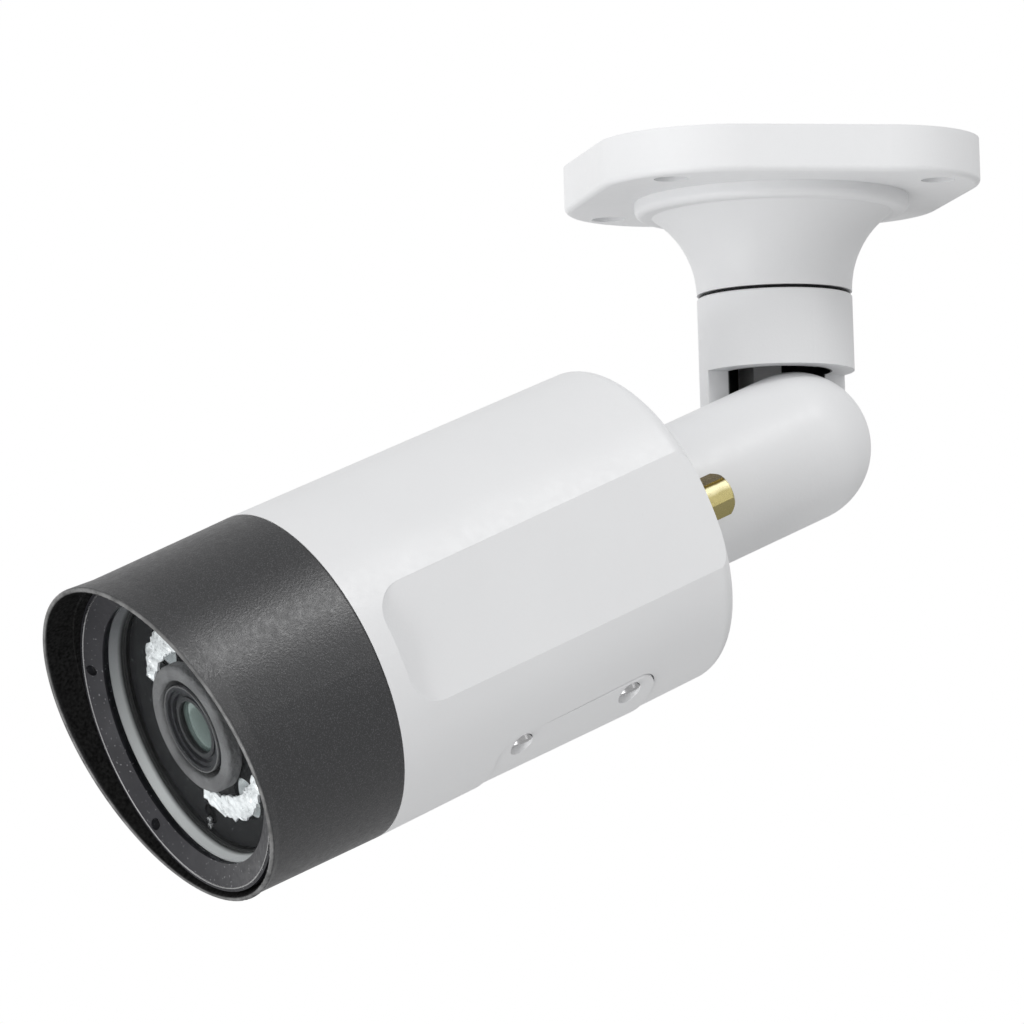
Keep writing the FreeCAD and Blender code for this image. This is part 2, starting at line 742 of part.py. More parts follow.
def led_board():
    """Ring board that carries the emitters."""
    board = ring(LED_BOARD_S, LED_BOARD_S + BOARD_T, 26.2, FOAM_NECK + 0.3)
    for x, z in frame_posts():
        board = board.cut(disc(LED_BOARD_S - 1, LED_BOARD_S + 3, 1.1, x, z))
    return board


def led_chips():
    """Two square emitters."""
    s0 = LED_BOARD_S + BOARD_T
    return Part.makeCompound([block(s0, s0 + 1.0, x - 1.7, x + 1.7, z - 1.7, z + 1.7) for x, z in led_spots()])


def ir_reflectors():
    """Bright cups round the emitters."""
    s0 = LED_BOARD_S + BOARD_T
    s1 = MASK_S - 0.1
    made = []
    for x, z in led_spots():
        cup = disc(s0, s1, LED_R, x, z)
        room = Part.makeCone(2.6, LED_R - 0.35, s1 - s0 + 0.02, at(s0 - 0.01, x, z), FRONT)
        made.append(cup.cut(room))
    return Part.makeCompound(made)


def ir_optics():
    """Clear lens on each cup, slightly domed."""
    made = []
    for x, z in led_spots():
        lens = disc(MASK_S - 0.1, MASK_S + 1.4, LED_R - 0.15, x, z)
        ball_r = 9.0
        ball = Part.makeSphere(ball_r, at(MASK_S + 1.4 - ball_r, x, z))
        made.append(lens.common(ball))
    return Part.makeCompound(made)


def light_spot():
    """Centre of the light sensor as (x, z)."""
    return (-13.8, -18.3)


def front_mask():
    """Black cover over the emitter board, with holes for lens, emitters and sensor."""
    plate = disc(MASK_S, MASK_S + MASK_T, 26.5)
    skirt = ring(LED_BOARD_S + BOARD_T, MASK_S + 0.1, 26.5, 25.2)
    mask = plate.fuse(skirt)
    mask = mask.cut(disc(MASK_S - 1, MASK_S + 2, FOAM_NECK + 0.1))
    for x, z in led_spots():
        mask = mask.cut(disc(MASK_S - 1, MASK_S + 2, LED_R + 0.05, x, z))
    x, z = light_spot()
    return mask.cut(disc(MASK_S - 1, MASK_S + 2, 2.1, x, z))


def light_sensor():
    """Small sensor with two round windows."""
    x, z = light_spot()
    s0 = LED_BOARD_S + BOARD_T
    body = disc(s0, MASK_S + 0.5, 1.8, x, z)
    for dx in (-0.8, 0.8):
        body = body.fuse(Part.makeSphere(0.62, at(MASK_S + 0.45, x + dx * 0.55, z + dx * 0.85)))
    return body


def lens_foam_ring():
    """Soft ring that shields the lens from the emitters' light."""
    neck = ring(LED_BOARD_S + BOARD_T + 0.3, MASK_S + MASK_T + 1.0, FOAM_NECK, FOAM_IN)
    flange = ring(MASK_S + MASK_T + 0.9, GLASS_S - 0.1, FOAM_OUT, FOAM_IN)
    body = neck.fuse(flange)
    edge_s = GLASS_S - 0.1
    return softened(body, 0.9, lambda p: abs(p.y + edge_s) < 0.01)


def lens_barrel():
    """Stepped barrel, widest in front, with a threaded tail."""
    tip = LENS_TIP_S
    outline = [
        (TAIL_S, 6.0), (141.5, 6.0), (141.5, 7.4), (143.8, 7.4), (143.8, BARREL_R), (tip - 0.4, BARREL_R),
        (tip, BARREL_R - 0.4), (tip, BARREL_R - 1.0), (tip - 0.6, BARREL_R - 1.1), (tip - 0.6, BARREL_R - 1.9),
        (tip - 1.4, BARREL_R - 2.0), (tip - 1.4, 6.5), (tip - 2.4, 6.4), (tip - 2.4, 5.0), (TAIL_S, 5.0),
    ]
    return turned(outline)


def lens_front_glass():
    """Domed front element."""
    tip = LENS_TIP_S - 0.9
    disc_part = disc(LENS_TIP_S - 2.4, tip + 0.2, 6.3)
    ball_r = 15.0
    return disc_part.common(Part.makeSphere(ball_r, at(tip - ball_r)))


def lens_inner_glass():
    """Inner elements, down the barrel."""
    made = [disc(LENS_TIP_S - 5.6 - 4.3 * k, LENS_TIP_S - 4.2 - 4.3 * k, 4.95) for k in range(4)]
    return Part.makeCompound(made)


def lens_retainer():
    """Thin ring that locks the front element."""
    tip = LENS_TIP_S - 1.35
    return ring(tip, tip + 0.5, 6.45, 5.6)


def lens_holder():
    """Square holder on the sensor board with the filter's slideway."""
    s0 = SENSOR_BOARD_S + MAIN_T
    body = block(s0, s0 + 7.0, -9, 9, -9, 9)
    body = body.fuse(disc(s0 + 6.9, 140.5, 8.0))
    body = body.cut(disc(s0 + 5.0, 141, 6.05))
    body = body.cut(block(s0 - 1, s0 + 5.0, -7.8, 7.8, -6.4, 6.4))
    body = body.cut(disc(s0 + 4.5, s0 + 6, 6.05))
    return body


def ir_cut_filter():
    """Filter frame that slides across the sensor."""
    s0 = SENSOR_BOARD_S + MAIN_T + 3.0
    frame = block(s0, s0 + 1.2, -7.4, 3.0, -5.8, 5.8)
    return frame


def image_sensor():
    """Sensor chip."""
    s0 = SENSOR_BOARD_S + MAIN_T
    return block(s0, s0 + 1.4, -5.5, 5.5, -4.6, 4.6)


def sensor_board():
    """Octagonal board behind the lens holder."""
    board = block(SENSOR_BOARD_S, SENSOR_BOARD_S + MAIN_T, -16, 16, -16, 16)
    for sx in (-1, 1):
        for sz in (-1, 1):
            corner = block(SENSOR_BOARD_S - 1, SENSOR_BOARD_S + 4, -5, 5, -5, 5)
            corner.rotate(at(0), Y, 45)
            corner.translate(V(sx * 17.5, 0, sz * 17.5))
            board = board.cut(corner)
            board = board.cut(disc(SENSOR_BOARD_S - 1, SENSOR_BOARD_S + 4, 1.1, sx * 12.5, sz * 12.5))
    return board


def frame_posts():
    """Centres of the long posts of the inner frame as (x, z)."""
    return [(23.2 * math.cos(math.radians(a)), 23.2 * math.sin(math.radians(a))) for a in (20, 160, 270)]


def board_frame():
    """Bulkhead with side rails for the main board and posts for the emitter board."""
    body = disc(BULKHEAD_S, BULKHEAD_S + BULKHEAD_T, 27.8)
    body = body.cut(block(BULKHEAD_S - 1, BULKHEAD_S + 4, -7, 7, -9.5, -6.5))
    for side in (-1, 1):
        x0 = 20.0 if side > 0 else -22.5
        rail = block(54, BULKHEAD_S + 0.5, x0, x0 + 2.5, MAIN_Z + MAIN_T, MAIN_Z + MAIN_T + 9)
        body = body.fuse(rail)
    for x, z in frame_posts():
        body = body.fuse(disc(BULKHEAD_S + 1, LED_BOARD_S, 2.2, x, z))
        body = body.cut(disc(LED_BOARD_S - 5, LED_BOARD_S + 1, 0.9, x, z))
    for sx in (-1, 1):
        for sz in (-1, 1):
            x, z = sx * 12.5, sz * 12.5
            body = body.fuse(disc(BULKHEAD_S + 1, SENSOR_BOARD_S, 2.0, x, z))
            body = body.cut(disc(SENSOR_BOARD_S - 3, SENSOR_BOARD_S + 1, 0.9, x, z))
    return body


def main_board():
    """Long board under the rails, parts facing the door."""
    return block(54, 117, -21.5, 21.5, MAIN_Z, MAIN_Z + MAIN_T)


def main_chips():
    """Processor, memories, coils and plugs on the main board's upper face."""
    z = MAIN_Z + MAIN_T
    boxes = [(84, 98, -7, 7, 1.4), (68, 78, -12, -4, 1.1), (68, 78, 3, 11, 1.1), (102, 109, -10, -3, 3.2),
             (102, 109, 4, 11, 2.6), (58, 63, -14, -6, 4.5), (58, 63, 2, 12, 4.5)]
    return Part.makeCompound([block(s0, s1, x0, x1, z, z + h) for s0, s1, x0, x1, h in boxes])


def board_screws():
    """Screws of the emitter board and the sensor board."""
    made = [cross_head(at(LED_BOARD_S + BOARD_T + 1.0, x, z), Y, 1.7, 1.0, 0.85, 5.0) for x, z in frame_posts()]
    for sx in (-1, 1):
        for sz in (-1, 1):
            spot = at(SENSOR_BOARD_S + MAIN_T + 1.0, sx * 12.5, sz * 12.5)
            made.append(cross_head(spot, Y, 1.7, 1.0, 0.85, 4.0))
    return Part.makeCompound(made)


def ribbon_cable():
    """Flat cable: from the sensor board back through the bulkhead and down to the main board."""
    t = 0.4
    w = 5.0
    top = -8.2
    back = 112.0
    out = block(back, SENSOR_BOARD_S - 0.05, -w, w, top, top + t)
    out = out.fuse(block(back, back + t, -w, w, MAIN_Z + MAIN_T + 0.05, top + t))
    return out


def card_socket():
    """Memory-card socket under the main board, mouth towards the front."""
    z1 = MAIN_Z
    body = block(70, 86, -11, 3, z1 - 2.6, z1)
    return body.cut(block(78, 87, -10, 2, z1 - 1.9, z1 - 0.7))


def reset_switch():
    """Switch body under the main board, with a guide for the button."""
    body = block(88, 94, 5, 11, MAIN_Z - 3.0, MAIN_Z)
    return body.cut(Part.makeCylinder(1.56, 2.4, at(91, 8, MAIN_Z - 3.01)))


def reset_button():
    """Round button of the switch."""
    stem = Part.makeCylinder(1.5, 2.6, at(91, 8, MAIN_Z - 4.2))
    return softened(stem, 0.3, lambda p: p.z < MAIN_Z - 4.19)


def antenna_lead():
    """Thin lead from the socket's stub to the main board."""
    r = 0.7
    start = at(REAR_S + REAR_WALL + 5.1, SOCKET_X)
    turn = at(52.5, 18.4, -2.5)
    low = at(57.5, 16.4, MAIN_Z + MAIN_T + 4.0)
    stop = at(62.0, 16.0, MAIN_Z + MAIN_T + 0.9)
    curve = Part.BSplineCurve()
    curve.interpolate(Points=[start, turn, low, stop], InitialTangent=FRONT, FinalTangent=FRONT)
    wire = Part.Wire([curve.toShape()])
    tangent = curve.tangent(curve.FirstParameter)[0]
    section = Part.Wire([Part.makeCircle(r, start, tangent)])
    return wire.makePipeShell([section], True, False)


COLLAR_NODES = {
    "pan_washer": pan_washer,
    "pan_nut": pan_nut,
    "pan_seam_ring": pan_seam_ring,
    "swivel_collar": swivel_collar,
    "tilt_disc": tilt_disc,
    "pivot_cap": pivot_cap,
}
BASE_NODES = {
    "base_plate": base_plate,
    "wall_gasket": wall_gasket,
    "pan_lock_screw": pan_lock_screw,
}
CAMERA_NODES = {
    "arm_shell": arm_shell,
    "tilt_bolt": tilt_bolt,
    "tilt_washer": tilt_washer,
    "roll_spindle": roll_spindle,
    "roll_washer": roll_washer,
    "roll_nut": roll_nut,
    "rear_housing": rear_housing,
    "roll_seal": roll_seal,
    "access_door": access_door,
    "door_screws": door_screws,
    "door_gasket": door_gasket,
    "antenna_socket": antenna_socket,
    "antenna_washer": antenna_washer,
    "antenna_nut": antenna_nut,
    "front_hood": front_hood,
    "bezel_ring": bezel_ring,
    "bezel_screws": bezel_screws,
    "window_ring": window_ring,
    "front_window": front_window,
    "window_gasket": window_gasket,
    "hood_seal": hood_seal,
    "led_board": led_board,
    "led_chips": led_chips,
    "ir_reflectors": ir_reflectors,
    "ir_optics": ir_optics,
    "front_mask": front_mask,
    "light_sensor": light_sensor,
    "lens_foam_ring": lens_foam_ring,
    "lens_barrel": lens_barrel,
    "lens_front_glass": lens_front_glass,
    "lens_inner_glass": lens_inner_glass,
    "lens_retainer": lens_retainer,
    "lens_holder": lens_holder,
    "ir_cut_filter": ir_cut_filter,
    "image_sensor": image_sensor,
    "sensor_board": sensor_board,
    "board_frame": board_frame,
    "main_board": main_board,
    "main_chips": main_chips,
    "board_screws": board_screws,
    "ribbon_cable": ribbon_cable,
    "card_socket": card_socket,
    "reset_switch": reset_switch,
    "reset_button": reset_button,
    "antenna_lead": antenna_lead,
}

for node, make in BASE_NODES.items():
    save(node, make())
for node, make in COLLAR_NODES.items():
    save(node, panned(make()))
for node, make in CAMERA_NODES.items():
    save(node, posed(make()))
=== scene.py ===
"""Looks of the bullet security camera on its ceiling bracket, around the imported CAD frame. Metres."""

import json
import math
import random

import bmesh
import bpy
from mathutils import Matrix, Vector


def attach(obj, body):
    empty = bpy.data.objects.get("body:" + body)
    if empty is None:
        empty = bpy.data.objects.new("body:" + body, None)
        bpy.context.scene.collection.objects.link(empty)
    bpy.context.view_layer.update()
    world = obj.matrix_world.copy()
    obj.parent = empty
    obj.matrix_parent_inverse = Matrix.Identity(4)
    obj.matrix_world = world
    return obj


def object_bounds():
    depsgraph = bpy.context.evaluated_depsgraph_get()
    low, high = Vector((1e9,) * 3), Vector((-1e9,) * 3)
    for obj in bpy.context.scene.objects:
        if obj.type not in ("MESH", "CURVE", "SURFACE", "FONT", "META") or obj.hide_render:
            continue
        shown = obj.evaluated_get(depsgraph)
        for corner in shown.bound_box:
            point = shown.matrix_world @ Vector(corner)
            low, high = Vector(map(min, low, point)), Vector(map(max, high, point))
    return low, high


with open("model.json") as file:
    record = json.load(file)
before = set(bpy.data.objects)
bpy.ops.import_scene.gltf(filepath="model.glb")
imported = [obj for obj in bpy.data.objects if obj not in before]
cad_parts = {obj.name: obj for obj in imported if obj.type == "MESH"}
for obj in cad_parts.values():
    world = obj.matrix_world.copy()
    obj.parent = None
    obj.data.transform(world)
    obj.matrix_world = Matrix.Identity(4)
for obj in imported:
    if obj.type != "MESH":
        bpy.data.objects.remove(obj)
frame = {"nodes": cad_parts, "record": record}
cad_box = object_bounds()

MM = 0.001

# ---- the camera's own directions at rest, from the CAD pose ----
PAN = math.radians(14.6)
TILT = math.radians(23.4)
ARM_OFFSET = 6.5            # mm from the pan axis to the arm's middle
PIVOT_DROP = 61.9           # mm from the ceiling down to the tilt pivot
FRONT = Vector((math.cos(TILT) * math.sin(PAN), -math.cos(TILT) * math.cos(PAN), -math.sin(TILT)))
SIDE = Vector((math.cos(PAN), math.sin(PAN), 0.0))
UP = FRONT.cross(SIDE)
LEVEL_BACK = Vector((0, 0, 1)).cross(SIDE)
PIVOT = Vector((ARM_OFFSET * math.cos(PAN), ARM_OFFSET * math.sin(PAN), -PIVOT_DROP)) * MM

# ---- where painted areas begin and end: mm along the camera's axis from the pivot, or mm of radius ----
RIM_S = 158.85              # middle of the slanting hood rim
RIM_LEAD = 4.34             # how far the rim's top leads its middle
RIM_R = 34.8
RIM_HIGHLIGHT_BAND = (0.45, 0.25)     # where the painted highlight on the rim's edge begins and is full, behind the rim
HOOD_BORE_R = 34.2          # nearer the axis, the hood is matt
RING_BORE_R = 27.2          # nearer the axis, the bright ring is dark
RING_PAINTED_SHADE = (-12.0, 24.0)   # heights between which painted shade under the visor darkens the ring
SOCKET_PAINTED_LIGHT_SPAN = (-5.0, 5.0)   # heights that the brass's painted shade and painted highlight cover
LUG_BORE_R = 11.2           # round recess in the swivel collar, made near black by painted shade
LUG_BORE_TOP = -33.5
LUG_RIB = (3.3, 3.4)        # half the rib's width, and where the painted shade is full beside it
PAINT_FADE = 0.3

# ---- added detail, in the same measures ----
TROUGH_R = 18.2             # middle of the crumpled reflectors
TROUGH_INWARD = 2.5
TROUGH_OUTWARD = 2.4
TROUGH_S = 147.65
TROUGH_DEPTH = 0.55
TROUGH_WAVE = 0.45
TROUGH_STEP = 2.6           # degrees
SENSOR_EYES = ((-14.9, -19.3), (-15.7, -20.6))
SOCKET_SIDE = 20.9          # mm from the camera's axis to the antenna socket

# ---- shares of light that a clear pane mirrors ----
FACE_ON_MIRROR = 0.004
GRAZING_MIRROR = 0.7
MIRROR_RISE = 8.0           # how late the share rises towards a slant

# ---- the view: degrees, and mm ----
VIEW_AZIMUTH, VIEW_ELEVATION, VIEW_ROLL = 77.411, -6.391, -1.698
VIEW_DISTANCE = 1856.209
VIEW_LENS = 316.40625       # on a 36 mm sensor
VIEW_ACROSS = 53.168838     # how far the frame's origin lies right of the line of sight
VIEW_ABOVE = 73.843706      # and above it

FLOOR_Z = -2.6
FLOOR_SIZE = 60.0


def at(s, x=0.0, z=0.0):
    """A point of the camera: s mm along its axis from the tilt pivot, x to its side and z up."""
    return PIVOT + FRONT * (s * MM) + SIDE * (x * MM) + UP * (z * MM)


def rgba(colour):
    """A grey or a colour, made opaque."""
    shade = (colour,) * 3 if isinstance(colour, (int, float)) else tuple(colour)
    return shade + (1.0,)


# ------------------------------------------------------------------ materials

class Nodes:
    """The node tree of a material or a world, with short ways to add and join its nodes."""

    def __init__(self, owner):
        owner.use_nodes = True
        self.nt = owner.node_tree
        self.nt.nodes.clear()
        self.coords = None

    def feed(self, socket, value):
        """Link another node's output to the socket, or set the value it holds."""
        if isinstance(value, bpy.types.NodeSocket):
            self.nt.links.new(value, socket)
        else:
            socket.default_value = value

    def add(self, kind, **inputs):
        """A new node with its inputs fed; an underscore stands for a space in an input's name."""
        node = self.nt.nodes.new(kind)
        for key, value in inputs.items():
            self.feed(node.inputs[key.replace("_", " ")], value)
        return node

    def noise(self, scale, detail=2.0, rough=0.5, vector=None):
        node = self.add("ShaderNodeTexNoise", Vector=vector or self.coords, Scale=scale, Detail=detail,
                        Roughness=rough)
        return node.outputs["Fac"]

    def cells(self, scale, feature="F1"):
        node = self.nt.nodes.new("ShaderNodeTexVoronoi")
        node.feature = feature
        self.feed(node.inputs["Vector"], self.coords)
        self.feed(node.inputs["Scale"], scale)
        return node.outputs["Distance"]

    def stretched(self, stretch):
        """The object's coordinates, scaled apart along the axes."""
        return self.add("ShaderNodeMapping", Vector=self.coords, Scale=stretch).outputs[0]

    def ramp(self, value, *stops):
        """Colour ramp: each stop is (position, grey or colour)."""
        node = self.add("ShaderNodeValToRGB", Fac=value)
        elements = node.color_ramp.elements
        while len(elements) < len(stops):
            elements.new(0.5)
        for element, (position, colour) in zip(elements, stops):
            element.position = position
            element.color = rgba(colour)
        return node.outputs["Color"]

    def spread(self, value, low, high, start=0.0, end=1.0):
        """A value between start and end, carried over to low and high."""
        node = self.add("ShaderNodeMapRange", Value=value, From_Min=start, From_Max=end, To_Min=low,
                        To_Max=high)
        return node.outputs["Result"]

    def step(self, value, start, end):
        """0 up to start, 1 from end on."""
        return self.spread(value, 0.0, 1.0, start, end)

    def maths(self, operation, *values):
        node = self.nt.nodes.new("ShaderNodeMath")
        node.operation = operation
        for socket, value in zip(node.inputs, values):
            self.feed(socket, value)
        return node.outputs[0]

    def vectors(self, operation, *values):
        """Vector maths; gives the scalar result of DOT_PRODUCT and LENGTH, else the vector."""
        node = self.nt.nodes.new("ShaderNodeVectorMath")
        node.operation = operation
        for socket, value in zip(node.inputs, values):
            self.feed(socket, value)
        return node.outputs["Value" if operation in ("DOT_PRODUCT", "LENGTH") else "Vector"]

    def mixed(self, factor, first, second):
        """Colour that goes from first to second; either can be a socket, a grey or a colour."""
        node = self.nt.nodes.new("ShaderNodeMix")
        node.data_type = "RGBA"
        self.feed(node.inputs[0], factor)
        for socket, value in ((node.inputs[6], first), (node.inputs[7], second)):
            self.feed(socket, value if isinstance(value, bpy.types.NodeSocket) else rgba(value))
        return node.outputs[2]

    def mixed_shaders(self, share, first, second):
        """Shader that goes from the first node's to the second's."""
        blend = self.nt.nodes.new("ShaderNodeMixShader")
        for socket, value in zip(blend.inputs, (share, first.outputs[0], second.outputs[0])):
            self.feed(socket, value)
        return blend


class Finish(Nodes):
    """One procedural material: a Principled shader with texture nodes on the object's own coordinates."""

    def __init__(self, name):
        self.mat = bpy.data.materials.new(name)
        super().__init__(self.mat)
        self.out = self.nt.nodes.new("ShaderNodeOutputMaterial")
        self.bsdf = self.nt.nodes.new("ShaderNodeBsdfPrincipled")
        self.show(self.bsdf)
        self.coords = self.nt.nodes.new("ShaderNodeTexCoord").outputs["Object"]

    def show(self, shader):
        self.nt.links.new(shader.outputs[0], self.out.inputs["Surface"])

    def set(self, **values):
        for key, value in values.items():
            self.feed(self.bsdf.inputs[key.replace("_", " ")], value)

    def from_pivot(self):
        """The way from the tilt pivot to the point."""
        return self.vectors("SUBTRACT", self.coords, PIVOT)

    def along(self, direction):
        """How far the point lies from the tilt pivot in a direction."""
        return self.vectors("DOT_PRODUCT", self.from_pivot(), direction)

    def camera_bore(self, radius):
        """1 nearer the camera's axis than radius, 0 outside."""
        along = self.along(FRONT)
        length = self.vectors("LENGTH", self.from_pivot())
        squares = self.maths("SUBTRACT", self.maths("MULTIPLY", length, length),
                             self.maths("MULTIPLY", along, along))
        return self.spread(self.maths("SQRT", squares), 1.0, 0.0, radius * MM, (radius + PAINT_FADE) * MM)

    def round_edges(self, radius):
        """Normals that run round the sharp edges."""
        node = self.add("ShaderNodeBevel", Radius=radius)
        node.samples = 6
        return node.outputs[0]

    def bumped(self, height, distance, below=None):
        """Normals of a relief, on top of those below."""
        node = self.add("ShaderNodeBump", Strength=1.0, Distance=distance, Height=height)
        if below is not None:
            self.feed(node.inputs["Normal"], below)
        return node.outputs[0]


def powder_coat(name, dark, light, fleck, fleck_share, rough, grain, depth, gloss=0.5, recess=False,
                hood=False):
    """Sprayed and baked paint: cloudy tone, orange peel and fine flecks.

    recess paints near-black shade into the collar's recess; hood paints a highlight on the rim's edge and
    makes the hood's inside matt.
    """
    f = Finish(name)
    cloud = f.ramp(f.noise(28.0, 3.0), (0.3, dark), (0.7, light))
    grains = f.noise(grain * 2.3, 1.0)
    flecks = f.ramp(grains, (fleck_share, 0.0), (fleck_share + 0.1, 1.0))
    peel = f.maths("ADD", f.noise(grain, 2.0), f.maths("MULTIPLY", grains, 0.5))
    colour = f.mixed(flecks, cloud, fleck)
    edges = None
    if recess:
        # painted shade: the collar's recess turns near black
        colour = f.mixed(recess_painted_shade(f), colour, 0.006)
    if hood:
        # painted highlight: the hood rim's edge is painted a lighter grey
        rim_highlight = f.ramp(f.noise(300.0, 4.0), (0.35, 0.04), (0.65, 0.15))
        colour = f.mixed(rim_painted_highlight(f), colour, rim_highlight)
        edges = f.round_edges(0.6 * MM)
        matt = f.add("ShaderNodeBsdfDiffuse", Color=f.ramp(f.noise(1500.0, 2.0), (0.3, 0.006), (0.7, 0.020)))
        f.show(f.mixed_shaders(f.camera_bore(HOOD_BORE_R), f.bsdf, matt))
    f.set(
        Base_Color=colour,
        Roughness=f.spread(f.noise(grain * 0.4, 3.0), rough - 0.05, rough + 0.06, 0.3, 0.7),
        Normal=f.bumped(peel, depth, below=edges),
        Specular_IOR_Level=gloss,
    )
    return f.mat


def recess_painted_shade(f):
    """1 on the collar's upright round recess, where painted shade makes it near black; 0 on the rib and
    outside.
    """
    axes = f.add("ShaderNodeSeparateXYZ", Vector=f.coords)
    x, y, z = axes.outputs
    reach = f.maths("SQRT", f.maths("ADD", f.maths("MULTIPLY", x, x), f.maths("MULTIPLY", y, y)))
    hollow = f.maths(
        "MULTIPLY",
        f.spread(reach, 1.0, 0.0, LUG_BORE_R * MM, (LUG_BORE_R + PAINT_FADE) * MM),
        f.spread(z, 1.0, 0.0, LUG_BORE_TOP * MM, (LUG_BORE_TOP + PAINT_FADE) * MM),
    )
    across = f.maths("ABSOLUTE", f.vectors("DOT_PRODUCT", f.coords, LEVEL_BACK))
    beside_rib = f.step(across, *(edge * MM for edge in LUG_RIB))
    return f.maths("MULTIPLY", hollow, beside_rib)


def rim_painted_highlight(f):
    """1 where a highlight is painted on the edge of the slanting hood rim, 0 behind it."""
    lead = f.maths("MULTIPLY", f.along(UP), RIM_LEAD / RIM_R)
    ahead = f.maths("SUBTRACT", f.along(FRONT), lead)
    return f.step(ahead, *((RIM_S - behind) * MM for behind in RIM_HIGHLIGHT_BAND))


def ring_with_painted_shade(name):
    """Satin ring with painted shade from the visor, darker towards the top; it is also dark on its inner
    edge.
    """
    f = Finish(name)
    # painted shade: the ring's colour goes from white low down to dark grey at the top, where the visor
    # shades it
    height = f.step(f.along(UP), *(edge * MM for edge in RING_PAINTED_SHADE))
    painted_light_tone = f.ramp(height, (0.0, 1.0), (1.0, (0.22, 0.22, 0.23)))
    marks = f.noise(900.0, 3.0)
    f.set(
        Base_Color=f.mixed(f.camera_bore(RING_BORE_R), painted_light_tone, 0.03),
        Metallic=0.35,
        Roughness=f.spread(marks, 0.34, 0.54, 0.3, 0.7),
        Normal=f.bumped(marks, 0.003 * MM),
    )
    return f.mat


def brass_with_painted_light(name):
    """Brass with painted light: painted shade makes it dark on top, and a painted highlight draws a bright
    line along the shoulder.
    """
    f = Finish(name)
    # painted light: plain brass low down, a painted highlight line at the hex edge, dark brown painted shade
    # above
    waver = f.maths("ADD", f.along(UP), f.spread(f.noise(700.0, 2.0), -0.3 * MM, 0.3 * MM))
    painted_light_tone = f.ramp(
        f.step(waver, *(edge * MM for edge in SOCKET_PAINTED_LIGHT_SPAN)),
        (0.0, (0.40, 0.34, 0.13)),
        (0.55, (0.46, 0.40, 0.18)),
        (0.66, (0.95, 0.88, 0.55)),
        (0.72, (0.95, 0.88, 0.55)),
        (0.76, (0.12, 0.085, 0.02)),
        (1.0, (0.20, 0.14, 0.035)),
    )
    marks = f.noise(1100.0, 3.0)
    f.set(
        Base_Color=painted_light_tone,
        Metallic=1.0,
        Roughness=f.spread(marks, 0.18, 0.38, 0.3, 0.7),
        Normal=f.bumped(marks, 0.004 * MM, below=f.round_edges(0.3 * MM)),
    )
    return f.mat


def moulded(name, dark, light, rough, grain=1600.0, depth=0.01 * MM, dust=None, gloss=0.5):
    """Moulded plastic with a fine spark-eroded texture, and dust specks if their colour is given."""
    f = Finish(name)
    colour = f.ramp(f.noise(120.0, 4.0), (0.3, dark), (0.7, light))
    if dust:
        specks = f.ramp(f.noise(grain * 1.1, 1.0), (0.70, 0.0), (0.76, 1.0))
        colour = f.mixed(specks, colour, dust)
    f.set(
        Base_Color=colour,
        Roughness=f.spread(f.noise(grain * 0.5, 2.0), rough - 0.07, rough + 0.08, 0.3, 0.7),
        Normal=f.bumped(f.noise(grain, 2.0), depth),
        Specular_IOR_Level=gloss,
    )
    return f.mat


def metal(name, dark, light, rough, stretch):
    """Bare metal with fine machining marks, drawn out by stretch, and slight tarnish."""
    f = Finish(name)
    marks = f.noise(900.0, 3.0, vector=f.stretched(stretch))
    f.set(
        Base_Color=f.ramp(f.noise(140.0, 5.0, 0.6), (0.3, dark), (0.7, light)),
        Metallic=1.0,
        Roughness=f.spread(marks, rough - 0.08, rough + 0.12, 0.3, 0.7),
        Normal=f.bumped(marks, 0.003 * MM),
    )
    return f.mat


def clear_pane(name, tint, gloss, rough=0.02, smudge=0.06):
    """Thin clear glass or plastic: seen straight through, with a mirror part that grows at a slant."""
    f = Finish(name)
    f.nt.nodes.remove(f.bsdf)
    through = f.add("ShaderNodeBsdfTransparent", Color=rgba(tint))
    mirror = f.add("ShaderNodeBsdfGlossy", Color=rgba(gloss),
                   Roughness=f.spread(f.noise(260.0, 4.0), rough, rough + smudge, 0.35, 0.75))
    facing = f.add("ShaderNodeLayerWeight", Blend=0.5)
    slant = f.maths("POWER", facing.outputs["Facing"], MIRROR_RISE)
    f.show(f.mixed_shaders(f.spread(slant, FACE_ON_MIRROR, GRAZING_MIRROR), through, mirror))
    return f.mat


def board(name, mask, track):
    """Circuit board: solder mask with raised tracks under it."""
    f = Finish(name)
    lines = f.ramp(f.cells(420.0, feature="DISTANCE_TO_EDGE"), (0.02, 1.0), (0.06, 0.0))
    cloud = f.ramp(f.noise(90.0, 3.0), (0.3, mask), (0.7, [c * 1.15 for c in mask]))
    f.set(
        Base_Color=f.mixed(lines, cloud, track),
        Roughness=f.spread(f.noise(300.0, 2.0), 0.28, 0.4),
        Normal=f.bumped(lines, 0.03 * MM),
    )
    return f.mat


def coated_lens(name, tint, inner):
    """Coated lens glass: dark and glossy, with a painted sheen that makes its colour lighter at a slant."""
    f = Finish(name)
    # painted sheen: the colour goes from the tint face on to the lighter inner tone at a slant
    weight = f.add("ShaderNodeLayerWeight", Blend=0.35)
    f.set(
        Base_Color=f.mixed(weight.outputs["Facing"], tint, inner),
        Roughness=f.spread(f.noise(200.0, 3.0), 0.02, 0.06),
        Coat_Weight=1.0,
        Coat_Roughness=0.02,
        Coat_Tint=(0.75, 0.9, 0.86, 1.0),
        IOR=1.6,
        Metallic=0.25,
    )
    return f.mat


